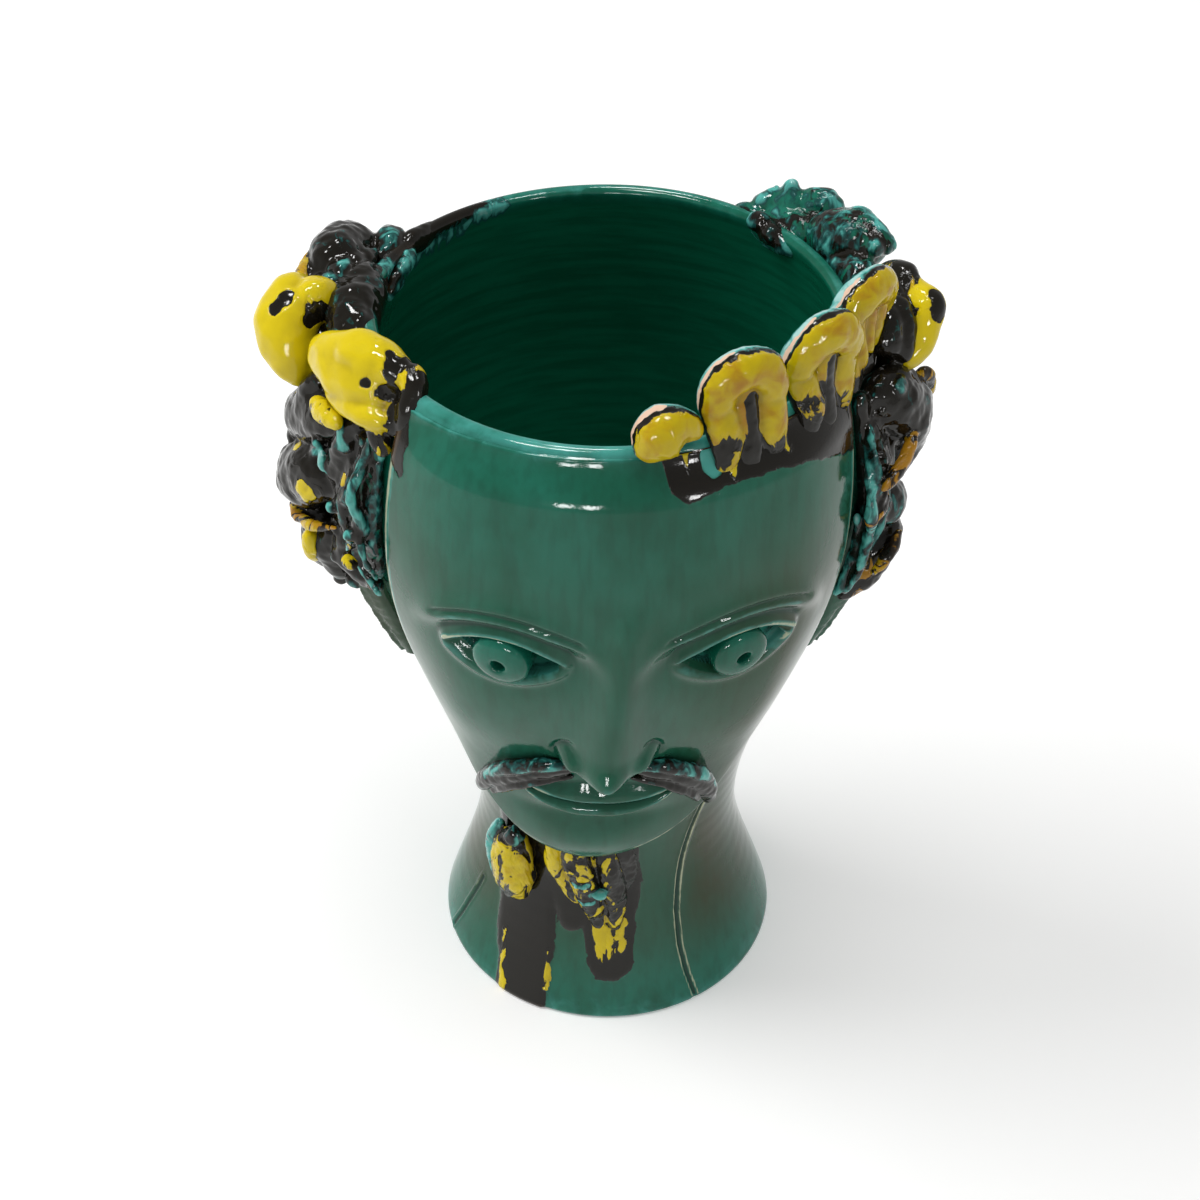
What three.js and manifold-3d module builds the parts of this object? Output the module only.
// A majolica head vase: a wheel-thrown vessel with a clay face, ears, crown, hair and beard luted onto it.
// Millimetres, +Z up. The origin is the centre of the base and the face looks along -Y.
// An azimuth is in degrees from the front (-Y), positive towards +X, the viewer's right.
import * as THREE from "three";
import { mergeVertices } from "three/addons/utils/BufferGeometryUtils.js";
import Module from "manifold-3d";

// Thrown vessel
const rimHeight = 280;
const rimRadius = 79;
const templeHeight = 224;
const templeRadius = 86.5;
const waistHeight = 64;
const waistRadius = 49.8;
const footRadius = 66;
const footFlare = 0.3;
const rimLean = 0.25;
const wall = 5.5;
const floorThickness = 9;
const lipRounding = 2;
const latheSegments = 48;

// Joints between the clay pieces
const clearance = 0.3;

// Face slab
const slabThickness = 5;
const slabEdgeThickness = 2.4;
const slabTopThickness = 1.6;
const slabTopDrop = 5;
const slabFeather = 14;
const slabSideAngle = 57;
const chinHeight = 98;
const chinProud = 10;
const chinBlend = 38;
const faceTilt = 5;

// Eyes, brows, nose and lips
const eyeWidth = 36;
const eyeOpening = 15;
const eyeSpacing = 72;
const eyeBelowBrow = 15;
const eyeballRadius = 9.5;
const eyeballDepth = 7;
const eyeballBulge = 3.2;
const pupilRadius = 1.9;
const browWidth = 50;
const browRise = 8;
const browGroove = 1.3;
const noseWidth = 29;
const noseProud = 15;
const noseBridgeWidth = 9;
const noseBridgeProud = 4;
const mouthWidth = 50;
const lipHeight = 7.5;
const lipProud = 5.5;

// Ears
const earAzimuth = 68;
const earLength = 8.5;
const earThickness = 4.5;
const earSweep = 34;

// Crown: a knob and three arches stand on the rim, right of the face's middle
const archFirstAzimuth = 26.5;
const archPitch = 23;
const archCount = 3;
const archWidth = 30;
const archRise = 27;
const archSkirt = 9;
const archCoil = 9;
const archWeb = 4.6;
const archLean = 3.5;
const knobAzimuth = 9;
const knobRadius = 9;

// One unit of length in the tables of the hair, the moustache and the beard
const lumpUnit = 1;

const up = new THREE.Vector3(0, 0, 1);
const radians = THREE.MathUtils.degToRad;
const mix = THREE.MathUtils.lerp;
const wasm = await Module();
wasm.setup();

// Solids
// A geometry's triangles as one solid, turned to face outwards.
function toSolid(geometry) {
  const bare = geometry.clone();
  bare.deleteAttribute("normal");
  bare.deleteAttribute("uv");
  const merged = mergeVertices(bare, 1e-4);
  const make = (triVerts) =>
    new wasm.Manifold(
      new wasm.Mesh({ numProp: 3, vertProperties: merged.attributes.position.array, triVerts }),
    );
  const triangles = new Uint32Array(merged.index.array);
  const solid = make(triangles);
  return solid.volume() < 0 ? make(triangles.reverse()) : solid;
}

function toGeometry(solid) {
  const mesh = solid.getMesh();
  const geometry = new THREE.BufferGeometry();
  geometry.setAttribute("position", new THREE.BufferAttribute(mesh.vertProperties, 3));
  geometry.setIndex(new THREE.BufferAttribute(mesh.triVerts, 1));
  const faceted = geometry.toNonIndexed();
  faceted.computeVertexNormals();
  return faceted;
}

// The largest body of a solid, without the crumbs that a cut leaves.
function largest(solid) {
  const bodies = solid.decompose();
  return bodies.reduce((a, b) => (a.volume() > b.volume() ? a : b));
}

const cutBy = (solid, cutters) => largest(cutters.reduce((left, c) => left.subtract(c), solid));

// A closed body through rings of equal count, each end closed by a fan.
function loft(rings) {
  const count = rings[0].length;
  const points = rings.flat();
  const faces = [];
  for (let i = 0; i + 1 < rings.length; i++)
    for (let j = 0; j < count; j++) {
      const a = i * count + j;
      const b = i * count + ((j + 1) % count);
      faces.push(a, b, b + count, a, b + count, a + count);
    }
  for (const [ring, flip] of [[0, true], [rings.length - 1, false]]) {
    const centre = new THREE.Vector3();
    rings[ring].forEach((p) => centre.addScaledVector(p, 1 / count));
    const hub = points.push(centre) - 1;
    for (let j = 0; j < count; j++) {
      const a = ring * count + j;
      const b = ring * count + ((j + 1) % count);
      faces.push(hub, flip ? b : a, flip ? a : b);
    }
  }
  const geometry = new THREE.BufferGeometry().setFromPoints(points);
  geometry.setIndex(faces);
  return geometry;
}

// The vessel's outer surface
function hermite(t, from, to, slopeFrom, slopeTo, length) {
  const s = 1 - t;
  return (
    from * s * s * (1 + 2 * t) + to * t * t * (3 - 2 * t) + length * t * s * (slopeFrom * s - slopeTo * t)
  );
}

function vesselRadius(z) {
  if (z > rimHeight) return rimRadius;
  if (z > templeHeight) {
    const length = rimHeight - templeHeight;
    return hermite((z - templeHeight) / length, templeRadius, rimRadius, 0, -rimLean, length);
  }
  if (z > waistHeight) {
    const length = templeHeight - waistHeight;
    return hermite((z - waistHeight) / length, waistRadius, templeRadius, 0, 0, length);
  }
  return hermite(z / waistHeight, footRadius, waistRadius, -footFlare, 0, waistHeight);
}

const outward = (azimuth) => new THREE.Vector3(Math.sin(radians(azimuth)), -Math.cos(radians(azimuth)), 0);

function vesselNormal(azimuth, z) {
  const slope = vesselRadius(z + 0.5) - vesselRadius(z - 0.5);
  return outward(azimuth).addScaledVector(up, -slope).normalize();
}

// A point that stands `out` millimetres off the vessel's outer surface.
const onVessel = (azimuth, z, out = 0) =>
  outward(azimuth)
    .multiplyScalar(vesselRadius(z))
    .setZ(z)
    .addScaledVector(vesselNormal(azimuth, z), out);

// Thrown vessel, `grow` larger on every side when it cuts what is luted onto it
function vessel(grow = 0) {
  const outer = [];
  const inner = [];
  const rows = 15;
  for (let i = 0; i <= rows; i++) {
    const z = (rimHeight - lipRounding) * (i / rows);
    const p = onVessel(90, z, grow);
    outer.push(new THREE.Vector2(p.x, i ? p.z : -grow));
    const above = mix(floorThickness, rimHeight - lipRounding, i / rows);
    const q = onVessel(90, above, -wall - grow);
    inner.unshift(new THREE.Vector2(q.x, i ? q.z : floorThickness + grow));
  }
  const lipOuter = new THREE.Vector2(rimRadius - lipRounding / 2, rimHeight + grow);
  const lipInner = new THREE.Vector2(rimRadius - wall + lipRounding / 2, rimHeight + grow);
  const profile = [
    new THREE.Vector2(0, -grow),
    ...outer,
    lipOuter,
    lipInner,
    ...inner,
    new THREE.Vector2(0, floorThickness + grow),
  ];
  return toSolid(new THREE.LatheGeometry(profile, latheSegments).rotateX(Math.PI / 2));
}

// Face
const faceHeight = rimHeight - chinHeight;
const browHeight = rimHeight - faceHeight / 3;
const noseBaseHeight = chinHeight + faceHeight / 3;
const mouthHeight = chinHeight + (faceHeight * 2) / 9;
const eyeHeight = browHeight - eyeBelowBrow;
// The azimuth of a point `across` millimetres right of the face's middle line, which leans at the temples.
function faceAzimuth(across, z) {
  const lean = (z - templeHeight) * Math.tan(radians(faceTilt));
  return THREE.MathUtils.radToDeg((across + lean) / vesselRadius(z));
}

// How far the slab's front stands off the vessel.
function slabFront(azimuth, z) {
  const fromMiddle = Math.abs(azimuth - faceAzimuth(0, z));
  const aside = THREE.MathUtils.smoothstep(fromMiddle / slabSideAngle, 0.6, 1);
  const below = THREE.MathUtils.smoothstep(rimHeight - slabTopDrop - z, 0, slabFeather);
  const sheet = mix(slabTopThickness, mix(slabThickness, slabEdgeThickness, aside), below);
  const fromChin = (z - chinHeight) / chinBlend;
  const aroundChin = Math.cos(Math.min(Math.PI / 2, radians(fromMiddle) * 1.5));
  return sheet + chinProud * Math.exp(-fromChin * fromChin) * Math.max(0, aroundChin);
}

const onFace = (across, z, out = 0) => {
  const azimuth = faceAzimuth(across, z);
  return onVessel(azimuth, z, clearance + slabFront(azimuth, z) + out);
};

// U-shaped slab, from just under the rim to the chin, its back sunk into the vessel for the cut that seats it.
function faceSlab(grow = 0) {
  const rows = 17;
  const columns = 20;
  const top = rimHeight - slabTopDrop + grow;
  const bottom = chinHeight - grow;
  const rings = [];
  for (let i = 0; i <= rows; i++) {
    const t = 0.006 + 0.994 * Math.pow(i / rows, 1.5);
    const z = mix(bottom, top, t);
    const side = slabSideAngle * Math.sqrt(1 - Math.pow(1 - t, 5));
    const growAngle = THREE.MathUtils.radToDeg(grow / vesselRadius(z));
    const front = [];
    const back = [];
    for (let j = 0; j <= columns; j++) {
      const azimuth = faceAzimuth(0, z) + (side + growAngle) * mix(-1, 1, j / columns);
      front.push(onVessel(azimuth, z, clearance + slabFront(azimuth, z) + grow));
      back.unshift(onVessel(azimuth, z, -1 - grow));
    }
    rings.push([...front, ...back]);
  }
  return toSolid(loft(rings));
}

// A frame on the face: x across, y up the face, z out of it.
function faceFrame(across, z) {
  const azimuth = faceAzimuth(across, z);
  const out = vesselNormal(azimuth, z);
  const right = new THREE.Vector3().crossVectors(up, out).normalize().applyAxisAngle(out, -radians(faceTilt));
  const above = new THREE.Vector3().crossVectors(out, right);
  return new THREE.Matrix4().makeBasis(right, above, out).setPosition(onFace(across, z));
}

// Almond-shaped cut through the slab and the vessel's wall.
function eyeCut(side) {
  const half = eyeWidth / 2;
  const shape = new THREE.Shape();
  shape.moveTo(-half, 0);
  shape.quadraticCurveTo(0, eyeOpening, half, 0);
  shape.quadraticCurveTo(0, -eyeOpening, -half, 0);
  const through = slabThickness + wall;
  const cut = new THREE.ExtrudeGeometry(shape, { depth: through * 4, bevelEnabled: false, curveSegments: 10 });
  cut.translate(0, 0, -through * 3).applyMatrix4(faceFrame((side * eyeSpacing) / 2, eyeHeight));
  return toSolid(cut);
}

// Domed clay button with a pierced pupil.
function eyeball(grow = 0) {
  const r = eyeballRadius + grow;
  const profile = [
    [pupilRadius - grow, -eyeballDepth - grow],
    [r, -eyeballDepth - grow],
    [r, -0.2],
    [r * 0.86, eyeballBulge * 0.5 + grow],
    [r * 0.55, eyeballBulge * 0.88 + grow],
    [pupilRadius - grow, eyeballBulge + grow],
    [pupilRadius - grow, -eyeballDepth - grow],
  ].map(([x, y]) => new THREE.Vector2(x, y));
  return new THREE.LatheGeometry(profile, 20).rotateX(Math.PI / 2);
}

// A tube from station to station: each has a place, the way out of the vase, a half width and a half thickness.
function sweep(stations, { grow = 0, sides = 8, steps = 9, pointed = 0.4 } = {}) {
  const path = new THREE.CatmullRomCurve3(stations.map((s) => s.place), false, "centripetal");
  const last = stations.length - 1;
  const length = path.getLength();
  const widest = Math.max(...stations.map((s) => s.halfWidth));
  const rounding = Math.min(0.45, widest / length);
  const rings = [];
  for (let i = 0; i <= steps; i++) {
    const s = i / steps;
    const k = Math.min(last - 1, Math.floor(s * last));
    const t = s * last - k;
    const [a, b] = [stations[k], stations[k + 1]];
    const centre = path.getPoint(s);
    const along = path.getTangent(s);
    const out = a.out.clone().lerp(b.out, t);
    out.addScaledVector(along, -out.dot(along)).normalize();
    const across = new THREE.Vector3().crossVectors(along, out);
    const end = Math.min(1, Math.min(s, 1 - s) / rounding);
    const fullness = pointed + (1 - pointed) * Math.sqrt(1 - (1 - end) * (1 - end));
    const width = mix(a.halfWidth, b.halfWidth, t) * fullness + grow;
    const thickness = mix(a.halfThickness, b.halfThickness, t) * fullness + grow;
    if (i === 0) centre.addScaledVector(along, -grow);
    if (i === steps) centre.addScaledVector(along, grow);
    const ring = [];
    for (let j = 0; j < sides; j++) {
      const angle = (2 * Math.PI * (j + 0.5)) / sides;
      ring.push(
        centre
          .clone()
          .addScaledVector(across, width * Math.cos(angle))
          .addScaledVector(out, thickness * Math.sin(angle)),
      );
    }
    rings.push(ring);
  }
  return toSolid(loft(rings));
}

// Stations on the vessel: azimuth, height, then distance off its surface, half width and half thickness
// in lump units.
const onSide = (rows) =>
  rows.map(([azimuth, z, off, halfWidth, halfThickness]) => ({
    place: onVessel(azimuth, z, off * lumpUnit),
    out: vesselNormal(azimuth, z),
    halfWidth: halfWidth * lumpUnit,
    halfThickness: halfThickness * lumpUnit,
  }));

// Stations on the face: distance right of its middle line, height, distance off it, half width, half thickness.
const onFaceLine = (rows) =>
  rows.map(([across, z, off, halfWidth, halfThickness]) => ({
    place: onFace(across, z, off),
    out: vesselNormal(faceAzimuth(across, z), z),
    halfWidth,
    halfThickness,
  }));

// Shallow incised arc over an eye.
function browCut(side) {
  const middle = (side * eyeSpacing) / 2;
  const arc = [-0.5, -0.25, 0, 0.25, 0.5].map((u) => [
    middle + u * browWidth,
    browHeight + browRise * (1 - 4 * u * u) - browRise / 2,
    0,
    browGroove / 2,
    browGroove,
  ]);
  return sweep(onFaceLine(arc), { sides: 6, steps: 10, pointed: 0.3 });
}

// Ridged wedge from the brow to the nose base, its back on the slab.
function nose(grow = 0) {
  const rows = 7;
  const rings = [];
  for (let i = 0; i <= rows; i++) {
    const t = i / rows;
    const z = mix(browHeight - 2, noseBaseHeight, t) + (i ? -grow : grow);
    const half = mix(noseBridgeWidth, noseWidth, Math.pow(t, 1.3)) / 2 + grow;
    const proud = mix(noseBridgeProud, noseProud, Math.pow(t, 1.2)) + grow;
    const ring = [
      onFace(-half, z, clearance - grow),
      onFace(-half * 0.86, z, proud * 0.3),
      onFace(-half * 0.42, z, proud * 0.62),
      onFace(-half * 0.16, z, proud * 0.96),
      onFace(half * 0.16, z, proud * 0.96),
      onFace(half * 0.42, z, proud * 0.62),
      onFace(half * 0.86, z, proud * 0.3),
      onFace(half, z, clearance - grow),
      onFace(half * 0.5, z, clearance - grow),
      onFace(0, z, clearance - grow),
      onFace(-half * 0.5, z, clearance - grow),
    ];
    rings.push(ring);
  }
  return toSolid(loft(rings));
}

// Half-round coil pressed along the mouth.
function lip(upper, grow = 0) {
  const half = mouthWidth / 2;
  const rise = lipHeight / 2 + clearance;
  const line = [-1, -0.66, -0.33, 0, 0.33, 0.66, 1].map((u) => {
    const taper = Math.sqrt(1 - 0.9 * u * u);
    const bow = upper ? 1.5 * Math.cos(3 * Math.PI * u) : 0;
    const middle = mouthHeight + (upper ? rise : -rise) * taper - bow * taper + 2.5 * u * u;
    return [u * half, middle, 1.2, (lipHeight / 2) * taper * 0.94, lipProud * taper];
  });
  return sweep(onFaceLine(line), { grow, sides: 10, steps: 14, pointed: 0.25 });
}

// Leaf-shaped flap, cupped forwards, behind the slab's edge between the brow and the nose base.
function ear(side, grow = 0) {
  const rows = 6;
  const top = browHeight - 2;
  const bottom = noseBaseHeight;
  const azimuth = side * earAzimuth + faceAzimuth(0, (top + bottom) / 2);
  const rings = [];
  for (let i = 0; i <= rows; i++) {
    const t = i / rows;
    const z = mix(bottom, top, t) + (i === rows ? grow : i ? 0 : -grow);
    const reach = earLength * (0.35 + 0.65 * Math.sin(Math.PI * (0.08 + 0.75 * t))) + grow;
    const root = onVessel(azimuth, z, -1);
    const back = outward(azimuth).applyAxisAngle(up, radians(side * earSweep));
    const front = outward(azimuth).applyAxisAngle(up, radians(side * -90));
    const thick = earThickness / 2 + grow;
    const near = [];
    const far = [];
    for (let j = 0; j <= 4; j++) {
      const s = j / 4;
      const middle = root.clone().addScaledVector(back, reach * s).addScaledVector(front, reach * 0.28 * s * s);
      near.push(middle.clone().addScaledVector(front, thick));
      far.unshift(middle.clone().addScaledVector(front, -thick));
    }
    rings.push([...near, ...far]);
  }
  return toSolid(loft(rings));
}

// Crown
// How far the crown's middle line stands off the vessel: on the rim above, over the slab below.
const crownOff = (z) => {
  const below = THREE.MathUtils.smoothstep(rimHeight + archSkirt - z, 0, archSkirt * 2);
  return mix(-wall / 2 + 1, slabTopThickness + archWeb / 2, below);
};

// A point of the crown, leaning `lean` millimetres outwards at the top.
const onCrown = (azimuth, z, lean = 0) => {
  const raised = Math.max(0, z - rimHeight) / archRise;
  return outward(azimuth).multiplyScalar(vesselRadius(z) + crownOff(z) + lean * raised).setZ(z);
};

// Coil bent into an upside-down U on the rim, filled by a thinner web and flowing down the forehead.
function crownArch(azimuth, lean, grow = 0) {
  const half = (archWidth - archCoil) / 2;
  const springing = rimHeight + archRise - archCoil / 2 - half;
  const foot = rimHeight - archSkirt;
  const around = (across) => azimuth + THREE.MathUtils.radToDeg(across / rimRadius);
  const line = [
    [-half, foot],
    [-half, mix(foot, springing, 0.5)],
    [-half, springing],
  ];
  for (const angle of [150, 120, 90, 60, 30])
    line.push([half * Math.cos(radians(angle)), springing + half * Math.sin(radians(angle))]);
  line.push([half, springing], [half, mix(foot, springing, 0.5)], [half, foot]);
  const station = ([across, z]) => ({
    place: onCrown(around(across), z, lean),
    out: outward(azimuth),
    halfWidth: archCoil / 2,
    halfThickness: archCoil / 2,
  });
  const coil = sweep(line.map(station), { grow, sides: 8, steps: 20, pointed: 0.7 });
  const rings = [];
  for (let i = 0; i <= 6; i++) {
    const across = mix(-half, half, i / 6);
    const top = springing + Math.sqrt(Math.max(0, half * half - across * across)) + grow;
    const front = [];
    const back = [];
    for (let j = 0; j <= 3; j++) {
      const middle = onCrown(around(across), mix(foot, top, j / 3), lean);
      front.push(middle.clone().addScaledVector(outward(azimuth), archWeb / 2 + grow));
      back.unshift(middle.clone().addScaledVector(outward(azimuth), -archWeb / 2 - grow));
    }
    rings.push([...front, ...back]);
  }
  return coil.add(toSolid(loft(rings)));
}

// Coil end pressed onto the rim at the start of the crown.
function crownKnob(grow = 0) {
  const station = (rise, share) => ({
    place: onCrown(knobAzimuth, rimHeight + rise * knobRadius).addScaledVector(
      outward(knobAzimuth),
      knobRadius / 4,
    ),
    out: outward(knobAzimuth),
    halfWidth: knobRadius * share,
    halfThickness: knobRadius * share,
  });
  const line = [station(-0.35, 0.9), station(0.55, 1), station(1.45, 0.9)];
  return sweep(line, { grow, steps: 8, pointed: 0.45 });
}

// Hair: coils and folded gobs of clay on both sides. Each row is an azimuth, a drop below the rim, a distance
// off the vessel, a half width and a half thickness.
const hairLocks = {
  hair_left_front_petal: [
    [-78, 7, 8, 8, 7],
    [-70, 0, 8, 12, 9],
    [-62, -2, 6, 12, 9],
    [-55, 3, 3, 10, 8],
    [-52, 13, 5, 8, 5],
  ],
  hair_left_back_petal: [
    [-103, -7, 14, 9, 8],
    [-98, 0, 20, 13, 11],
    [-92, 13, 18, 13, 11],
    [-87, 24, 11, 9, 9],
  ],
  hair_left_rim_gob: [
    [-78, -1, -1, 8, 6],
    [-91, -3, 2, 10, 8],
    [-106, -2, 3, 9, 8],
  ],
  hair_left_crest: [
    [-106, 5, 10, 9, 9],
    [-112, -2, 13, 11, 11],
    [-119, 4, 8, 9, 8],
  ],
  hair_left_rim_fold: [
    [-111, -3, 2, 6, 5],
    [-121, -2, 3, 7, 6],
    [-130, 3, 3, 5, 5],
  ],
  hair_left_upper_lock: [
    [-70, 18, 5, 9, 6],
    [-80, 28, 9, 13, 10],
    [-90, 40, 11, 12, 10],
  ],
  hair_left_middle_lock: [
    [-74, 50, 6, 9, 7],
    [-83, 57, 11, 12, 12],
    [-92, 66, 13, 13, 13],
    [-99, 78, 8, 9, 9],
  ],
  hair_left_lower_lock: [
    [-73, 72, 5, 8, 6],
    [-83, 82, 10, 10, 9],
    [-93, 94, 11, 10, 9],
  ],
  hair_left_hanging_lobe: [
    [-74, 87, 5, 7, 5],
    [-82, 94, 9, 8, 8],
    [-90, 100, 8, 7, 7],
  ],
  hair_left_temple_strand: [
    [-66, 22, 3, 5, 4],
    [-68, 40, 3, 6, 5],
    [-67, 60, 3, 4, 4],
  ],
  hair_right_loop: [
    [85, 22, 8, 8, 7],
    [89, 8, 13, 9, 8],
    [87, -6, 15, 8, 8],
    [81, 0, 18, 8, 8],
    [79, 16, 11, 9, 7],
  ],
  hair_right_upper_lock: [
    [65, 22, 4, 9, 6],
    [74, 27, 9, 13, 10],
    [86, 37, 9, 11, 10],
  ],
  hair_right_middle_lock: [
    [66, 44, 4, 8, 6],
    [75, 50, 9, 12, 10],
    [86, 58, 10, 10, 9],
  ],
  hair_right_lower_lock: [
    [68, 66, 3, 7, 5],
    [78, 70, 8, 10, 9],
    [90, 75, 8, 9, 8],
  ],
  hair_right_hanging_lobe: [
    [68, 90, 3, 7, 5],
    [76, 85, 8, 9, 9],
    [86, 84, 9, 8, 8],
  ],
  hair_right_rim_gob: [
    [96, -1, 5, 9, 9],
    [107, -4, 8, 10, 9],
    [117, 0, 6, 9, 8],
  ],
  hair_right_ribbon: [
    [120, 6, 7, 9, 7],
    [128, 1, 8, 9, 7],
    [133, -3, 8, 5, 5],
    [135, -10, 8, 3, 3],
  ],
  hair_right_rim_knob: [
    [132, 0, -1, 6, 5],
    [142, 1, 0, 5, 5],
  ],
};

function hairLock(rows, grow = 0) {
  const stations = rows.map(([azimuth, drop, ...rest]) => [azimuth, rimHeight - drop * lumpUnit, ...rest]);
  return sweep(onSide(stations), { grow, sides: 8, steps: 8 });
}

// Moustache: a drooping tuft on each side. Each row is a distance from the middle, a height over the mouth,
// a distance off the face, a half width and a half thickness.
const moustacheLine = [
  [6, 14, 1, 4, 3.5],
  [19, 11, 1.5, 6, 4.5],
  [31, 0, 1.5, 6, 4.5],
  [36, -19, 0.5, 4, 3.5],
].map((row) => row.map((length) => length * lumpUnit));

function moustache(side, grow = 0) {
  const stations = moustacheLine.map(([across, over, ...rest]) => [side * across, mouthHeight + over, ...rest]);
  return sweep(onFaceLine(stations), { grow, sides: 8, steps: 9 });
}

// Beard: tufts under the chin and the thick slip runs below them. Each row is an azimuth, a share of the
// chin's height, a distance off the vessel, a half width and a half thickness.
const beardLocks = {
  beard_left_tuft: [
    [-43, 0.86, 3.5, 9, 5.5],
    [-43, 0.68, 5, 11, 6.5],
    [-43, 0.48, 3, 9, 5.5],
  ],
  beard_right_tuft: [
    [-15, 0.95, 4.5, 10, 5.5],
    [-11, 0.76, 5.5, 13, 6.5],
    [-7, 0.5, 3.5, 10, 5.5],
  ],
  beard_left_run: [
    [-38, 0.46, 0, 13, 2.3],
    [-37, 0.24, 0, 13, 2.3],
    [-35, 0.03, 0, 12, 2.3],
  ],
  beard_right_run: [
    [-5, 0.46, 0.5, 11, 2.5],
    [-4, 0.34, 0.5, 10.5, 2.5],
    [-3, 0.17, 0.5, 8, 2.5],
  ],
};

function beardLock(rows, grow = 0) {
  const stations = rows.map(([azimuth, share, ...rest]) => [azimuth, chinHeight * share, ...rest]);
  return sweep(onSide(stations), { grow, sides: 10, steps: 8, pointed: 0.5 });
}

// Materials
const greenGlaze = new THREE.MeshStandardMaterial({ color: 0x12604c, roughness: 0.12, metalness: 0 });
const darkGlaze = new THREE.MeshStandardMaterial({ color: 0x2b2420, roughness: 0.18, metalness: 0 });
const yellowGlaze = new THREE.MeshStandardMaterial({ color: 0xd9c20c, roughness: 0.14, metalness: 0 });

// Assembly
const vase = new THREE.Group();

function place(name, solid, material) {
  const mesh = new THREE.Mesh(toGeometry(solid), material);
  mesh.name = name;
  vase.add(mesh);
}

// What has been placed so far, grown by the clearance: each later piece is cut back from it.
const seats = [vessel(clearance), faceSlab(clearance)];

function press(name, make, material) {
  place(name, cutBy(make(0), seats), material);
  seats.push(make(clearance));
}

const eyeCuts = [-1, 1].map(eyeCut);
const eyeFrames = [-1, 1].map((side) => faceFrame((side * eyeSpacing) / 2, eyeHeight));
const eyeSeats = eyeFrames.map((frame) => toSolid(eyeball(clearance).applyMatrix4(frame)));
place("thrown_vessel", cutBy(vessel(), [...eyeCuts, ...eyeSeats]), greenGlaze);
const slabCuts = [vessel(clearance), ...eyeCuts, ...eyeSeats, browCut(-1), browCut(1)];
place("face_slab", cutBy(faceSlab(), slabCuts), greenGlaze);

["left_eyeball", "right_eyeball"].forEach((name, i) => {
  const mesh = new THREE.Mesh(eyeball(), greenGlaze);
  mesh.name = name;
  mesh.applyMatrix4(eyeFrames[i]);
  vase.add(mesh);
});

press("nose", nose, greenGlaze);
press("upper_lip", (grow) => lip(true, grow), greenGlaze);
press("lower_lip", (grow) => lip(false, grow), greenGlaze);
press("moustache_left", (grow) => moustache(-1, grow), darkGlaze);
press("moustache_right", (grow) => moustache(1, grow), darkGlaze);
press("left_ear", (grow) => ear(-1, grow), greenGlaze);
press("right_ear", (grow) => ear(1, grow), greenGlaze);

press("crown_knob", crownKnob, yellowGlaze);
for (let i = 0; i < archCount; i++) {
  const azimuth = archFirstAzimuth + i * archPitch;
  press(`crown_arch_${i + 1}`, (grow) => crownArch(azimuth, i * archLean, grow), yellowGlaze);
}

const yellowLocks = ["hair_left_front_petal", "hair_left_back_petal", "hair_right_loop"];
for (const [name, rows] of Object.entries(hairLocks))
  press(name, (grow) => hairLock(rows, grow), yellowLocks.includes(name) ? yellowGlaze : darkGlaze);
for (const [name, rows] of Object.entries(beardLocks))
  press(name, (grow) => beardLock(rows, grow), darkGlaze);

export default vase;
